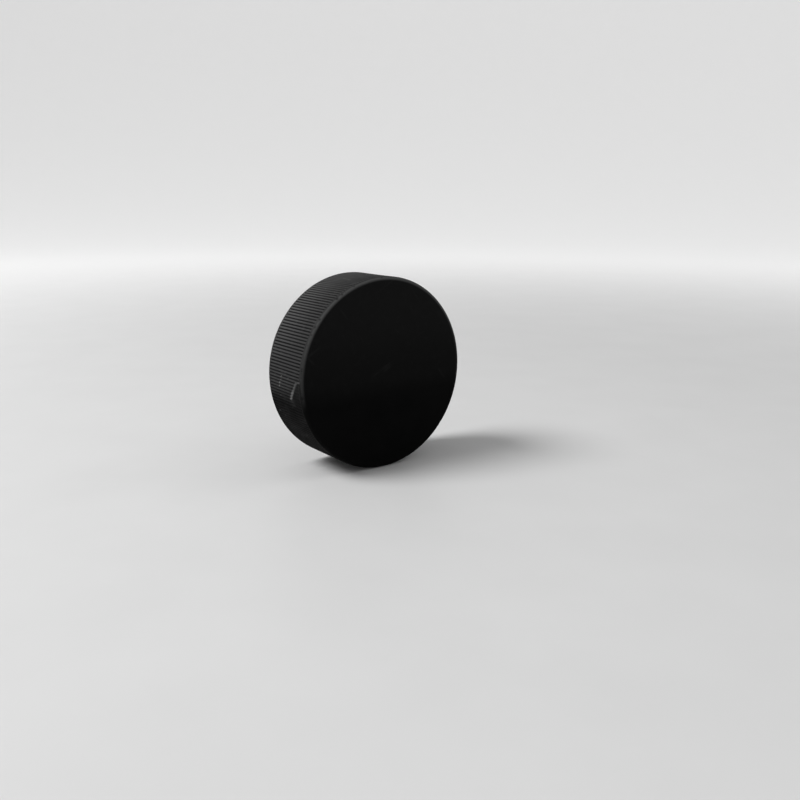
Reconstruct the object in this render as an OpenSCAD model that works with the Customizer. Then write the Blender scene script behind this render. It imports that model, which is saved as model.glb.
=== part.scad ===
// Ice hockey puck: one moulded disc of solid rubber with a ribbed rim, standing on its rim.
// The disc's axis lies along Y, its front face looks along -Y, and the origin is the
// point where the rim meets the surface that it stands on.

/* [Disc] */
// Diameter over the ribs' crests
puck_d = 76.2; // [70:0.1:80]
// Thickness from face to face
puck_t = 25.4; // [22:0.1:28]
// Radius of the rounded edge between each face and the rim
edge_r = 1.3; // [0.5:0.1:1.6]

/* [Grip ribs] */
// Number of ribs round the rim, each with one groove beside it
rib_count = 190; // [120:2:220]
// Plain rim left between each rounded edge and the ends of the grooves
plain_rim = 0.5; // [0.4:0.1:2]
// Depth of the grooves
groove_depth = 0.3; // [0.2:0.05:0.5]
// Share of the rib spacing that a groove takes at its mouth
mouth_share = 0.46; // [0.3:0.02:0.6]
// Share of the rib spacing that a groove takes at its floor
floor_share = 0.16; // [0.1:0.02:0.24]

/* [Hidden] */
$fn = 120;
puck_r = puck_d / 2;
groove_l = puck_t - 2 * (edge_r + plain_rim);
rib_angle = 360 / rib_count;
// A groove's cutter runs this far past the crests, so that it cuts cleanly.
cutter_over = 0.5;

// Half of the disc's cross section: x is the distance from its axis, y from its middle plane.
module disc_section() {
    square_r = puck_r - edge_r;
    half_land = puck_t / 2 - edge_r;
    translate([0, -puck_t / 2]) square([square_r, puck_t]);
    translate([0, -half_land]) square([puck_r, 2 * half_land]);
    for (side = [-1, 1])
        translate([square_r, side * half_land]) circle(r = edge_r);
}

// Cross section of one groove's cutter: a trapezium whose sides keep their slope past the rim.
module groove_section() {
    half_mouth = puck_r * sin(rib_angle * mouth_share / 2);
    half_floor = puck_r * sin(rib_angle * floor_share / 2);
    slope = (half_mouth - half_floor) / groove_depth;
    half_outer = half_mouth + slope * cutter_over;
    floor_r = puck_r - groove_depth;
    outer_r = puck_r + cutter_over;
    polygon([[floor_r, -half_floor], [outer_r, -half_outer], [outer_r, half_outer], [floor_r, half_floor]]);
}

// Cutters for all the grooves, set between the ribs so that a crest lies at angle 0.
module groove_cutters() {
    for (i = [0 : rib_count - 1])
        rotate([0, 0, (i + 0.5) * rib_angle])
            linear_extrude(height = groove_l, center = true) groove_section();
}

// The disc is made round Z, turned so that its axis lies along Y and its angle 0 points
// straight down, and lifted to stand on the crest there.
module puck_body() {
    color([0.07, 0.07, 0.075])
        translate([0, 0, puck_r]) rotate([90, 90, 0])
            difference() {
                rotate_extrude() disc_section();
                groove_cutters();
            }
}

puck_body();
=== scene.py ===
"""An ice hockey puck: one moulded disc of black rubber with a ribbed rim, standing on its rim.

The disc's axis lies along Y. A place on it is given by its angle in degrees round that axis,
0 towards +X and 90 straight up, and by how far it lies from the middle plane along Y.
"""

import math

import bpy
import numpy as np
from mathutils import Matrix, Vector


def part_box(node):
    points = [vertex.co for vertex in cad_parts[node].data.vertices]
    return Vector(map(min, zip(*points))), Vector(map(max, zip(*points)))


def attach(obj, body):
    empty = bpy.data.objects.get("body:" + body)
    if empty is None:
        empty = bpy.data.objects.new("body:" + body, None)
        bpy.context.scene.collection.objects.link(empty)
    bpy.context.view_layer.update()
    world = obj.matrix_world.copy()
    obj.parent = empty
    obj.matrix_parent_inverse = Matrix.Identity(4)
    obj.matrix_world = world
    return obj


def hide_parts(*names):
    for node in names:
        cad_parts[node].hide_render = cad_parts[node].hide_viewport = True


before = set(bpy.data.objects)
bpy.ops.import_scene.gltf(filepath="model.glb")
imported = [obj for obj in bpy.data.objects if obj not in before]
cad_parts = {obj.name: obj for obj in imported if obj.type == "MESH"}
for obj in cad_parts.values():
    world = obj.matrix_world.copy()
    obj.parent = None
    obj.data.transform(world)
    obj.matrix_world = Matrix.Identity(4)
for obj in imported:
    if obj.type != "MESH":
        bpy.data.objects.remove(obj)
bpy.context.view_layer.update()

MM = 0.001
SEED = 11

# The disc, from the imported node. The edge's radius, the ribs' number and the grooves' depth, which the
# node's box doesn't give, repeat those in part.scad.
LOW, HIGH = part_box("puck_body")
CENTRE = (LOW + HIGH) / 2
RADIUS = (HIGH.x - LOW.x) / 2
HALF_T = (HIGH.y - LOW.y) / 2
EDGE_R = 1.3 * MM
FLAT_R = RADIUS - EDGE_R
RIM_HALF = HALF_T - EDGE_R

# Steps round a rounded edge, rows across the middle of the rim, and the insets in mm of the closely
# spaced rows, on a face beside its edge and on the rim beside its edge.
EDGE_STEPS = 8
MIDDLE_ROWS = 30
FACE_INSETS = (0.9, 0.25)
RIM_INSETS = (0.2, 0.4, 0.6, 0.8, 1.0)

# The rings that fill a face: radius as a share of the flat part's, and by how much each thins its points.
FACE_RINGS = [(0.975, 2), (0.94, 2), (0.88, 2), (0.76, 2), (0.6, 1), (0.42, 1), (0.24, 5), (0.1, 1)]

# The ribs. A profile point is a share of the rib spacing from the crest, and a share of the depth.
RIBS = 190
GROOVE_DEPTH = 0.3 * MM
HALF_PROFILE = [(0.0, 0.0), (0.22, 0.05), (0.32, 0.5), (0.41, 0.95), (0.5, 1.0)]
GROOVE_END = RIM_HALF
END_RAMP = 0.6 * MM

# How unevenly the ribs were moulded: spread of place, depth and groove end, and the rim's slight waviness.
RIB_SWAY = 0.012
RIB_DEPTH_SPREAD = 0.07
RIB_END_SPREAD = 0.12
RIM_WAVE = 0.02 * MM

# Worn patches of the rim, where the crests are rubbed down and the grooves are packed with dirt, so
# that both come near WORN_LEVEL, a share of the grooves' depth, and WORN_MOST of the way to it at most.
# Each patch is given as angle, y, reach along and across in mm, and share. It fades out at WORN_FADE
# times its reach.
WORN_LEVEL = 0.5
WORN_MOST = 0.9
WORN_FADE = 1.4
WORN_PATCHES = [
    (183.5, -10.6, 4.0, 3.4, 1.0),
    (188.5, -8.8, 4.6, 4.6, 1.0),
    (100.0, 0.0, 14.0, 14.0, 0.95),
    (208.0, 0.0, 12.0, 15.0, 0.8),
    (62.0, 6.0, 12.0, 5.0, 0.4),
    (350.0, -5.0, 10.0, 5.0, 0.5),
    (25.0, 2.0, 14.0, 7.0, 0.35),
    (305.0, 7.0, 12.0, 4.0, 0.45),
]

# Nicks in the rounded edges: angle, side (-1 front, 1 back), radius and depth in mm.
EDGE_NICKS = [
    (121.0, -1, 0.7, 0.20),
    (125.0, -1, 0.9, 0.25),
    (141.0, -1, 0.7, 0.18),
    (146.0, -1, 0.6, 0.20),
    (151.0, -1, 0.5, 0.12),
    (172.0, -1, 0.6, 0.16),
    (188.0, -1, 1.2, 0.25),
    (215.0, -1, 0.9, 0.20),
    (95.0, 1, 0.6, 0.15),
    (230.0, 1, 0.9, 0.20),
    (20.0, 1, 0.9, 0.20),
]

# A burr that stands out from an edge: as a nick, with a negative depth.
EDGE_BURR = (82.0, 1, 0.8, -0.22)

# Small nicks strewn along both edges: their number, least radius and its spread in mm, and depth per radius.
RANDOM_NICKS = 90
NICK_LEAST = 0.22
NICK_SPREAD = 0.35
NICK_DEPTH = 0.25

# Pale scuffs on the rim: points given as angle and y in mm, then a reach in mm and a strength.
SCUFF_LINES = [
    ([(178.9, -11.4), (179.4, -9.4)], 0.55, 0.4),
    ([(179.9, -8.7), (183.9, -6.9), (187.5, -5.1)], 0.9, 0.55),
    ([(185.5, -6.1), (187.6, -5.0), (190.3, -4.0)], 1.0, 0.95),
    ([(104.4, 2.1), (105.1, -3.5)], 0.5, 0.3),
    ([(39.0, -6.0), (47.0, 1.5)], 0.45, 0.3),
    ([(334.0, 3.2), (322.0, 6.4)], 0.4, 0.25),
]

# Pale specks on the rim: angle, y, radius in mm and strength.
SPECKS = [
    (178.4, 2.4, 0.55, 0.8),
    (180.4, 2.6, 0.45, 0.6),
    (182.5, 3.6, 0.60, 1.0),
    (184.5, 3.9, 0.60, 1.0),
    (190.3, 3.8, 0.50, 0.6),
    (178.4, -2.8, 0.45, 0.5),
    (201.5, 8.4, 0.60, 0.5),
    (204.1, 5.5, 0.50, 0.4),
    (215.0, -4.9, 0.60, 0.4),
    (118.5, 1.4, 0.45, 0.4),
    (127.5, -2.1, 0.40, 0.4),
    (97.9, -3.1, 0.45, 0.4),
]

# Heights above the floor: where the painted shade over the lower part ends, how far it fades up and
# down from there, how ragged its end is, and where the painted light over the top begins and is full.
LOW_SHADE_TOP = 36 * MM
LOW_SHADE_FADE_UP = 5 * MM
LOW_SHADE_FADE_DOWN = 6 * MM
LOW_SHADE_RAGGED = 6 * MM
LIT_TOP_FROM = 36 * MM
LIT_TOP_FULL = 64 * MM

# Shades of the rubber, as linear grey: the faces, the crests and grooves, the worn rim, the edges, marks, and
# the painted shade over the lower part with its stains.
# The faces are painted near black, far darker than the rim of the same rubber, as shade; the third face shade
# is painted light on top.
FACE_DARK, FACE_PALE, FACE_LIT_TOP, SCRATCH = 0.003, 0.007, 0.009, 0.018
# The crests: the third shade is painted light at the back and top, the fourth painted shade where the grooves
# end.
CREST_DARK, CREST_PALE, CREST_LIT, CREST_END_SHADE = 0.042, 0.058, 0.092, 0.010
# The grooves' floor, painted dark as shade.
GROOVE_SHADE = 0.006
# The worn rim: painted shade low down, and painted light over the top, more at the back.
RUBBED_SHADED_LOW, RUBBED_LIT_FRONT, RUBBED_LIT_BACK = 0.010, 0.026, 0.052
# The edges: the second shade is a painted highlight over the top.
EDGE_LOW, EDGE_HIGHLIGHT = 0.042, 0.078
DUST, NICK, SCUFF = 0.08, 0.008, 0.15
# The painted shade over the lower part, and the paler stains in it.
LOW_SHADE_GREY, STAIN = 0.001, 0.014

# The scales of the noises, in lumps to the metre: clouds of shade, grain, pebbling, dust and stains.
CLOUD_SCALE, GRAIN_SCALE, PEBBLE_SCALE, DUST_SCALE, STAIN_SCALE = 90.0, 900.0, 2600.0, 380.0, 170.0

# Fine scratches on the faces: slant in radians and noise scale of each set, and how far they are drawn out.
SCRATCH_SETS = [(0.5, 420.0), (-0.9, 560.0)]
SCRATCH_DRAWN = (0.10, 1.0, 1.0)

# The rubber's gloss, and how deep its fine pebbling is.
RUBBER_IOR = 1.16
RUBBER_SPECULAR = 0.4
PEBBLE_DEPTH = 0.03 * MM

# The pale sweep: its flat floor's radius, how far out and up it curves, its parts round and along the
# curve, how strongly its far part glows, and where the glow begins and is full.
SWEEP_FLAT = 1.5
SWEEP_BEND = 2.5
SWEEP_RISE = 2.0
SWEEP_AROUND = 128
SWEEP_STEPS = 25
GLOW = 0.42
GLOW_FROM, GLOW_FULL = 0.2, 1.3

# The lights: place from the puck's centre, size across in metres, and power in watts. Then the sky.
KEY = ((-0.92, 0.34, 1.12), 0.7, 22.0)
FILL = ((0.9, -0.4, 0.9), 0.9, 2.0)
SKY_SHADE = 0.8
SKY_STRENGTH = 0.45

# The camera: degrees round from -Y and up, distance in metres, lens and sensor width in mm, and shift.
# Then the picture's gamma.
CAMERA_TURN, CAMERA_RISE, CAMERA_DISTANCE = -34.7, 11.45, 0.340
LENS, SENSOR = 37.8, 36.0
SHIFT_X, SHIFT_Y = 0.0420, -0.0394
GAMMA = 0.88


def smooth_step(t):
    t = np.clip(t, 0.0, 1.0)
    return t * t * (3.0 - 2.0 * t)


# ---------------------------------------------------------------- the disc's mesh


def rib_columns():
    """The angle, groove share and rib number of each column of the belt."""
    mirrored = [(-share, depth) for share, depth in HALF_PROFILE[:0:-1]]
    profile = mirrored + HALF_PROFILE[:-1]
    rng = np.random.default_rng(SEED)
    sway = rng.normal(0.0, RIB_SWAY, RIBS)
    angles, depths, ribs = [], [], []
    for rib in range(RIBS):
        for share, depth in profile:
            loose = sway[rib] * (1.0 - 2.0 * abs(share))
            angles.append(-math.pi / 2 + 2 * math.pi * (rib + share + loose) / RIBS)
            depths.append(depth)
            ribs.append(rib)
    return np.array(angles), np.array(depths), np.array(ribs)


def belt_rows():
    """Each row's radius, y, and outward direction, from the front face over the rim to the back."""
    rows = [(FLAT_R - inset * MM, HALF_T, 0.0, 1.0) for inset in FACE_INSETS]
    for step in range(EDGE_STEPS + 1):
        turn = math.pi / 2 * (1 - step / EDGE_STEPS)
        out, side = math.cos(turn), math.sin(turn)
        rows.append((FLAT_R + EDGE_R * out, RIM_HALF + EDGE_R * side, out, side))
    for inset in RIM_INSETS:
        rows.append((RADIUS, RIM_HALF - inset * MM, 1.0, 0.0))
    front = [(r, -y, out, -side) for r, y, out, side in rows]
    back = rows[::-1]
    reach = rows[-1][1]
    middle = [(RADIUS, y, 1.0, 0.0) for y in np.linspace(-reach, reach, MIDDLE_ROWS)[1:-1]]
    return np.array(front + middle + back)


def dent(points, outward, marks, angle, side, radius, depth):
    """Pushes in, or out where depth is negative, the surface round one spot of a rounded edge."""
    # The spot is near the middle of the edge's curve.
    turn = math.radians(angle)
    arm = FLAT_R + EDGE_R * 0.75
    spot = np.array([arm * math.cos(turn), side * (RIM_HALF + EDGE_R * 0.7), arm * math.sin(turn)])
    near = np.linalg.norm(points - spot, axis=2) / (radius * MM)
    share = smooth_step(1.0 - near)
    points -= outward * (share * depth * MM)[:, :, None]
    np.maximum(marks, share, out=marks)


def belt_surface():
    """The belt's points, and for each how deep in a groove, how worn and how nicked it is."""
    angles, depths, ribs = rib_columns()
    rows = belt_rows()
    radius, across, out, side = (column[:, None] for column in rows.T)
    rng = np.random.default_rng(SEED + 1)
    rib_depth = rng.normal(1.0, RIB_DEPTH_SPREAD, RIBS)[ribs]
    rib_end = rng.normal(0.0, RIB_END_SPREAD, RIBS)[ribs] * MM
    ramp = smooth_step((GROOVE_END + rib_end - np.abs(across)) / END_RAMP)
    groove = ramp * depths * rib_depth

    worn = np.zeros_like(groove)
    for angle, y, along, wide, share in WORN_PATCHES:
        arc = (np.degrees(angles) - angle + 180.0) % 360.0 - 180.0
        arc = np.radians(arc) * RADIUS / (along * MM)
        near = np.hypot(arc, (across - y * MM) / (wide * MM))
        worn = np.maximum(worn, share * smooth_step(WORN_FADE - near))
    drop = GROOVE_DEPTH * (groove + (ramp * WORN_LEVEL - groove) * worn * WORN_MOST)
    wave = RIM_WAVE * (1.0 + np.sin(3 * angles + 0.7) * np.cos(5 * angles))
    reach = radius - (drop + wave * out) * out
    points = np.stack(
        [
            reach * np.cos(angles),
            across + 0.0 * angles,
            reach * np.sin(angles),
        ],
        axis=2,
    )
    outward = np.stack([out * np.cos(angles), side + 0.0 * angles, out * np.sin(angles)], axis=2)

    nicks = np.zeros_like(groove)
    for nick in EDGE_NICKS + [EDGE_BURR]:
        dent(points, outward, nicks, *nick)
    for _ in range(RANDOM_NICKS):
        size = NICK_LEAST + NICK_SPREAD * rng.random() ** 2
        side_sign = -1 if rng.random() < 0.5 else 1
        dent(points, outward, nicks, 360.0 * rng.random(), side_sign, size, size * NICK_DEPTH)
    return points, groove, worn, nicks


def face_rings(edge_ring, side):
    """Rings of points from a face's outer ring in towards its centre, with fewer points further in."""
    rings = [edge_ring]
    for share, thin in FACE_RINGS:
        ring = rings[-1][::thin].copy()
        ring *= share * FLAT_R / np.linalg.norm(ring[:, [0, 2]], axis=1)[:, None]
        ring[:, 1] = side * HALF_T
        rings.append(ring)
    return rings[1:]


def build_puck():
    """One closed mesh: the belt of rim and edges, and a face of thinning rings on each side."""
    points, groove, worn, nicks = belt_surface()
    rows, columns = groove.shape
    verts = list(points.reshape(-1, 3))
    marks = {"groove": groove, "worn": worn, "nick": nicks}
    marks = {name: list(values.reshape(-1)) for name, values in marks.items()}
    faces = []
    for row in range(rows - 1):
        for column in range(columns):
            after = (column + 1) % columns
            a, b = row * columns + column, row * columns + after
            faces.append((a, a + columns, b + columns, b))
    for side, first in ((-1, 0), (1, (rows - 1) * columns)):
        outer = list(range(first, first + columns))
        for ring in face_rings(points[0 if side < 0 else -1], side):
            inner = list(range(len(verts), len(verts) + len(ring)))
            verts.extend(ring)
            step = len(outer) // len(inner)
            for i, vertex in enumerate(inner):
                arc = [outer[(i * step + k) % len(outer)] for k in range(step + 1)]
                face = arc + [inner[(i + 1) % len(inner)], vertex]
                faces.append(tuple(face if side < 0 else face[::-1]))
            outer = inner
        hub = len(verts)
        verts.append(np.array([0.0, side * HALF_T, 0.0]))
        for i, vertex in enumerate(outer):
            face = (vertex, outer[(i + 1) % len(outer)], hub)
            faces.append(face if side < 0 else face[::-1])
    mesh = bpy.data.meshes.new("puck_rubber")
    mesh.from_pydata([tuple(v + np.array(CENTRE)) for v in verts], [], faces)
    for name, values in marks.items():
        values += [0.0] * (len(verts) - len(values))
        mesh.attributes.new(name, "FLOAT", "POINT").data.foreach_set("value", values)
    mesh.polygons.foreach_set("use_smooth", [True] * len(mesh.polygons))
    mesh.validate()
    mesh.update()
    puck = bpy.data.objects.new("puck_rubber", mesh)
    bpy.context.scene.collection.objects.link(puck)
    return puck


# ---------------------------------------------------------------- materials


class Tree:
    """Adds nodes to one material, and links them."""

    def __init__(self, name):
        self.material = bpy.data.materials.new(name)
        self.material.use_nodes = True
        self.tree = self.material.node_tree
        self.shader = self.tree.nodes["Principled BSDF"]

    def put(self, socket, value):
        if isinstance(value, bpy.types.NodeSocket):
            self.tree.links.new(value, socket)
        else:
            socket.default_value = value

    def node(self, kind, inputs=(), **settings):
        made = self.tree.nodes.new(kind)
        for name, value in settings.items():
            setattr(made, name, value)
        for name, value in dict(inputs).items():
            self.put(made.inputs[name], value)
        return made

    def math(self, operation, *values, clamp=False):
        made = self.node("ShaderNodeMath", operation=operation, use_clamp=clamp)
        for socket, value in zip(made.inputs, values):
            self.put(socket, value)
        return made.outputs[0]

    def attribute(self, name):
        return self.node("ShaderNodeAttribute", attribute_name=name).outputs["Fac"]

    def noise(self, place, scale, detail=3.0, rough=0.5, distortion=0.0):
        inputs = {
            "Vector": place,
            "Scale": scale,
            "Detail": detail,
            "Roughness": rough,
            "Distortion": distortion,
        }
        return self.node("ShaderNodeTexNoise", inputs).outputs["Fac"]

    def spread(self, value, low, high, to_low=0.0, to_high=1.0):
        inputs = {"Value": value, "From Min": low, "From Max": high, "To Min": to_low, "To Max": to_high}
        return self.node("ShaderNodeMapRange", inputs, interpolation_type="SMOOTHSTEP").outputs[0]

    def share(self, value, part):
        """A value taken at a fixed part of its strength."""
        return self.math("MULTIPLY", value, part)

    def vector(self, operation, first, second):
        return self.node("ShaderNodeVectorMath", {0: first, 1: second}, operation=operation)

    def blend(self, share, first, second):
        made = self.node("ShaderNodeMix", data_type="RGBA")
        self.put(made.inputs["Factor"], share)
        self.put(made.inputs[6], first)
        self.put(made.inputs[7], second)
        return made.outputs[2]


def grey(value):
    return (value, value, value, 1.0)


def rim_place(tree, place):
    """Where a point lies on the unrolled rim: millimetres along it from angle 180, and y in millimetres."""
    split = tree.node("ShaderNodeSeparateXYZ", {"Vector": place})
    x, y, z = split.outputs
    up = tree.math("SUBTRACT", z, CENTRE.z)
    turn = tree.math("ARCTAN2", tree.math("MULTIPLY", up, -1.0), tree.math("MULTIPLY", x, -1.0))
    return tree.math("MULTIPLY", turn, RADIUS / MM), tree.math("MULTIPLY", y, 1 / MM)


def line_share(tree, along, across, start, end, width):
    """1 on a straight scuff between two places on the rim, falling to 0 at its width."""
    (s0, y0), (s1, y1) = start, end
    ds, dy = s1 - s0, y1 - y0
    from_s, from_y = tree.math("SUBTRACT", along, s0), tree.math("SUBTRACT", across, y0)
    dot = tree.math("ADD", tree.math("MULTIPLY", from_s, ds), tree.math("MULTIPLY", from_y, dy))
    part = tree.math("DIVIDE", dot, ds * ds + dy * dy, clamp=True)
    off_s = tree.math("SUBTRACT", from_s, tree.math("MULTIPLY", part, ds))
    off_y = tree.math("SUBTRACT", from_y, tree.math("MULTIPLY", part, dy))
    squares = tree.math("ADD", tree.math("MULTIPLY", off_s, off_s), tree.math("MULTIPLY", off_y, off_y))
    return tree.spread(tree.math("SQRT", squares), width * 0.25, width, 1.0, 0.0)


def unrolled(angle, y):
    """A place given as angle and y, as millimetres along the rim from angle 180, and y."""
    turn = angle % 360.0 - 180.0
    return math.radians(turn) * RADIUS / MM, y


def rim_scuffs(tree, place):
    """All the pale scuffs and specks on the rim together."""
    along, across = rim_place(tree, place)
    total = 0.0
    for points, reach, strength in SCUFF_LINES:
        spots = [unrolled(*point) for point in points]
        line = 0.0
        for start, end in zip(spots, spots[1:]):
            share = line_share(tree, along, across, start, end, reach)
            line = tree.math("MAXIMUM", line, share)
        total = tree.math("MAXIMUM", total, tree.math("MULTIPLY", line, strength))
    flat = tree.node("ShaderNodeCombineXYZ", {"X": along, "Y": across}).outputs[0]
    for angle, y, radius, strength in SPECKS:
        spot = unrolled(angle, y) + (0.0,)
        away = tree.vector("DISTANCE", flat, spot).outputs["Value"]
        share = tree.spread(away, radius * 0.3, radius, strength, 0.0)
        total = tree.math("MAXIMUM", total, share)
    return total


def fine_scratches(tree, place):
    """Two sets of thin, broken scratches that cross the faces at a slant, from noise drawn out long."""
    total = 0.0
    for slant, scale in SCRATCH_SETS:
        spin = tree.node("ShaderNodeVectorRotate", {"Vector": place, "Angle": slant}, rotation_type="Y_AXIS")
        drawn = tree.vector("MULTIPLY", spin.outputs[0], SCRATCH_DRAWN)
        line = tree.spread(tree.noise(drawn.outputs[0], scale, 2.0, 0.5, 0.3), 0.66, 0.72)
        total = tree.math("MAXIMUM", total, line)
    return total


def rubber():
    """Black vulcanised rubber: faces painted near black as shade, a greyer rubbed rim, painted shade in the
    grooves and over the lower part, painted light over the top with a painted highlight on its edges, and
    pale scuffs.
    """
    tree = Tree("puck_rubber")
    place = tree.node("ShaderNodeTexCoord").outputs["Object"]
    groove, worn, nick = (tree.attribute(name) for name in ("groove", "worn", "nick"))

    # How far a point is from the axis tells the faces from the edges, and how far from the middle plane
    # tells the edges from the rim.
    level = tree.vector("SUBTRACT", place, CENTRE).outputs[0]
    flat = tree.vector("MULTIPLY", level, (1.0, 0.0, 1.0)).outputs[0]
    reach = tree.node("ShaderNodeVectorMath", {0: flat}, operation="LENGTH").outputs["Value"]
    _, depth, height = tree.node("ShaderNodeSeparateXYZ", {"Vector": place}).outputs
    aside = tree.math("ABSOLUTE", tree.math("SUBTRACT", depth, CENTRE.y))
    on_rim = tree.spread(aside, RIM_HALF + 1.0 * MM, RIM_HALF + 0.4 * MM)
    on_edge = tree.spread(reach, FLAT_R - 0.4 * MM, FLAT_R + 0.6 * MM)

    clouds = tree.noise(place, CLOUD_SCALE, 4.0, 0.6)
    grain = tree.noise(place, GRAIN_SCALE, 3.0, 0.6)
    pebble = tree.noise(place, PEBBLE_SCALE, 2.0, 0.5)
    dust = tree.spread(tree.noise(place, DUST_SCALE, 5.0, 0.7), 0.52, 0.75)
    scratches = tree.math("MULTIPLY", fine_scratches(tree, place), tree.spread(clouds, 0.4, 0.6))
    scuff = tree.math("MULTIPLY", rim_scuffs(tree, place), tree.spread(grain, 0.3, 0.62, 0.6, 1.0))
    scuff = tree.math("MULTIPLY", scuff, on_edge)

    # The lower part is darkened as painted shade, and the top lightened as painted light.
    ragged = tree.math("MULTIPLY_ADD", clouds, LOW_SHADE_RAGGED, height)
    low_shade = tree.spread(ragged, LOW_SHADE_TOP + LOW_SHADE_FADE_UP, LOW_SHADE_TOP - LOW_SHADE_FADE_DOWN)
    lit_top = tree.spread(height, LIT_TOP_FROM, LIT_TOP_FULL)
    # Painted light, growing towards the back and the top.
    lit_back_top = tree.math("MULTIPLY", tree.spread(depth, LOW.y, HIGH.y), lit_top)
    # Where the grooves run out, for painted shade on the crests.
    groove_end_shade = tree.spread(aside, GROOVE_END - END_RAMP, GROOVE_END)

    # The faces: painted near black as shade, with random tone, painted light on top, and fine scratches.
    face = tree.blend(clouds, grey(FACE_DARK), grey(FACE_PALE))
    face = tree.blend(lit_top, face, grey(FACE_LIT_TOP))
    face = tree.blend(tree.share(scratches, 0.4), face, grey(SCRATCH))
    crest = tree.blend(clouds, grey(CREST_DARK), grey(CREST_PALE))
    # Painted light: the crests lighten towards the back and the top.
    crest = tree.blend(lit_back_top, crest, grey(CREST_LIT))
    # Painted shade: the crests darken where the grooves run out, and on the plain band past them.
    crest = tree.blend(tree.share(groove_end_shade, 0.4), crest, grey(CREST_END_SHADE))
    # Painted shade: the grooves darken with their depth.
    rib = tree.blend(tree.math("POWER", groove, 0.7), crest, grey(GROOVE_SHADE))
    # The worn patches' colour, darker low down and lighter at the top and back, as painted shade and light.
    rubbed = tree.blend(lit_back_top, grey(RUBBED_LIT_FRONT), grey(RUBBED_LIT_BACK))
    rubbed = tree.blend(lit_top, grey(RUBBED_SHADED_LOW), rubbed)
    rib = tree.blend(tree.math("MULTIPLY", worn, 0.95, clamp=True), rib, rubbed)
    # The rounded edges, with a painted highlight over the top.
    edge = tree.blend(lit_top, grey(EDGE_LOW), grey(EDGE_HIGHLIGHT))
    colour = tree.blend(on_rim, edge, rib)
    colour = tree.blend(on_edge, face, colour)
    dusty = tree.math("MULTIPLY", dust, tree.math("MULTIPLY_ADD", on_rim, 0.30, 0.04))
    colour = tree.blend(dusty, colour, grey(DUST))
    colour = tree.blend(tree.share(nick, 0.6), colour, grey(NICK))
    stain = tree.spread(tree.noise(place, STAIN_SCALE, 4.0, 0.65), 0.5, 0.68)
    # Painted shade over the lower part, with paler stains in it on the rim.
    low_shade_and_stains = tree.blend(tree.math("MULTIPLY", stain, on_rim), grey(LOW_SHADE_GREY), grey(STAIN))
    colour = tree.blend(tree.share(low_shade, 0.97), colour, low_shade_and_stains)
    colour = tree.blend(tree.share(scuff, 0.9), colour, grey(SCUFF))
    tree.put(tree.shader.inputs["Base Color"], colour)

    rough = tree.spread(clouds, 0.3, 0.7, 0.55, 0.68)
    rough = tree.math("MULTIPLY_ADD", groove, 0.12, rough)
    rough = tree.math("MULTIPLY_ADD", scuff, 0.2, rough, clamp=True)
    tree.put(tree.shader.inputs["Roughness"], rough)
    tree.shader.inputs["IOR"].default_value = RUBBER_IOR
    tree.shader.inputs["Specular IOR Level"].default_value = RUBBER_SPECULAR

    relief = tree.math("MULTIPLY_ADD", pebble, 0.35, grain)
    relief = tree.math("MULTIPLY_ADD", scuff, tree.share(grain, 1.5), relief)
    bump = tree.node("ShaderNodeBump", {"Height": relief, "Strength": 0.5, "Distance": PEBBLE_DEPTH})
    tree.put(tree.shader.inputs["Normal"], bump.outputs[0])
    return tree.material


def sweep_material():
    """A plain pale floor with a faint sheen, whose far part and wall glow a little."""
    tree = Tree("sweep")
    place = tree.node("ShaderNodeTexCoord").outputs["Object"]
    mottle = tree.blend(tree.noise(place, 25.0, 4.0), grey(0.58), grey(0.62))
    tree.put(tree.shader.inputs["Base Color"], mottle)
    tree.shader.inputs["Roughness"].default_value = 0.5
    tree.shader.inputs["Specular IOR Level"].default_value = 0.25
    away = tree.node("ShaderNodeVectorMath", {0: place}, operation="LENGTH").outputs["Value"]
    tree.put(tree.shader.inputs["Emission Color"], grey(1.0))
    glow = tree.spread(away, GLOW_FROM, GLOW_FULL, 0.0, GLOW)
    tree.put(tree.shader.inputs["Emission Strength"], glow)
    return tree.material


# ---------------------------------------------------------------- stage, light and camera


def aim(thing, place, target):
    """Puts a light or the camera at a place, turned towards the target."""
    thing.location = place
    thing.rotation_mode = "QUATERNION"
    thing.rotation_quaternion = (Vector(target) - Vector(place)).to_track_quat("-Z", "Y")


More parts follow.
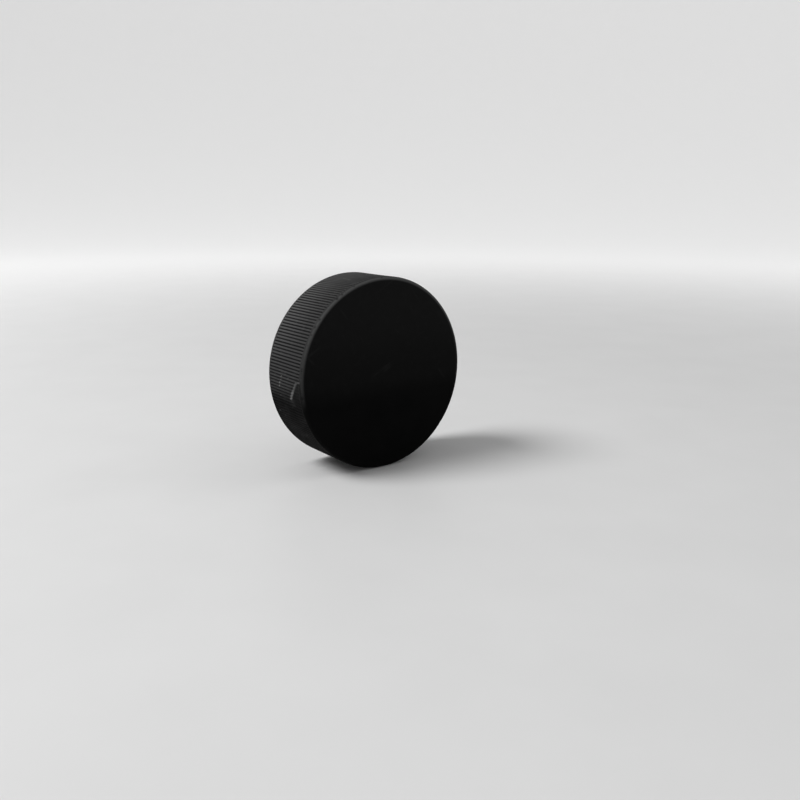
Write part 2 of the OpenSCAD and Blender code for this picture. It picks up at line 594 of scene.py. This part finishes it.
def make_sweep():
    """A round pale floor that curves up into a low wall all round."""
    bend = np.linspace(0.0, math.pi / 2, SWEEP_STEPS)
    rings = [(share * SWEEP_FLAT, 0.0) for share in (0.02, 0.1, 0.3, 0.6)]
    rings += [(SWEEP_FLAT + SWEEP_BEND * math.sin(t), SWEEP_RISE * (1 - math.cos(t))) for t in bend]
    around = SWEEP_AROUND
    turns = [2 * math.pi * k / around for k in range(around)]
    verts = [(r * math.cos(t), r * math.sin(t), LOW.z + z) for r, z in rings for t in turns]
    faces = [tuple(range(around))]
    for ring in range(len(rings) - 1):
        for k in range(around):
            a, b = ring * around + k, ring * around + (k + 1) % around
            faces.append((a, a + around, b + around, b))
    mesh = bpy.data.meshes.new("sweep")
    mesh.from_pydata(verts, [], faces)
    mesh.polygons.foreach_set("use_smooth", [True] * len(mesh.polygons))
    mesh.materials.append(sweep_material())
    sweep = bpy.data.objects.new("sweep", mesh)
    bpy.context.scene.collection.objects.link(sweep)


def area_light(name, place, size, power):
    lamp = bpy.data.lights.new(name, "AREA")
    lamp.shape, lamp.size, lamp.energy = "DISK", size, power
    made = bpy.data.objects.new(name, lamp)
    bpy.context.scene.collection.objects.link(made)
    aim(made, CENTRE + Vector(place), CENTRE)


def make_lights():
    """A soft light high behind the puck's left side, a weak one from the right, and a pale sky."""
    area_light("key_light", *KEY)
    area_light("fill_light", *FILL)
    world = bpy.data.worlds.new("studio")
    bpy.context.scene.world = world
    world.use_nodes = True
    world.node_tree.nodes["Background"].inputs["Color"].default_value = grey(SKY_SHADE)
    world.node_tree.nodes["Background"].inputs["Strength"].default_value = SKY_STRENGTH


def make_camera():
    """Looks at the puck from its front left, a little above, with its centre set off by the shift."""
    turn, rise = math.radians(CAMERA_TURN), math.radians(CAMERA_RISE)
    back = Vector((math.sin(turn) * math.cos(rise), -math.cos(turn) * math.cos(rise), math.sin(rise)))
    camera = bpy.data.cameras.new("camera")
    camera.lens, camera.sensor_width = LENS, SENSOR
    camera.shift_x, camera.shift_y = SHIFT_X, SHIFT_Y
    camera.clip_start, camera.clip_end = 0.01, 20.0
    made = bpy.data.objects.new("camera", camera)
    bpy.context.scene.collection.objects.link(made)
    aim(made, CENTRE + back * CAMERA_DISTANCE, CENTRE)
    bpy.context.scene.camera = made


bpy.context.scene.view_settings.view_transform = "Standard"
bpy.context.scene.view_settings.gamma = GAMMA
make_camera()
make_sweep()
make_lights()
puck = build_puck()
puck.data.materials.append(rubber())
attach(puck, "root")
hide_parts("puck_body")
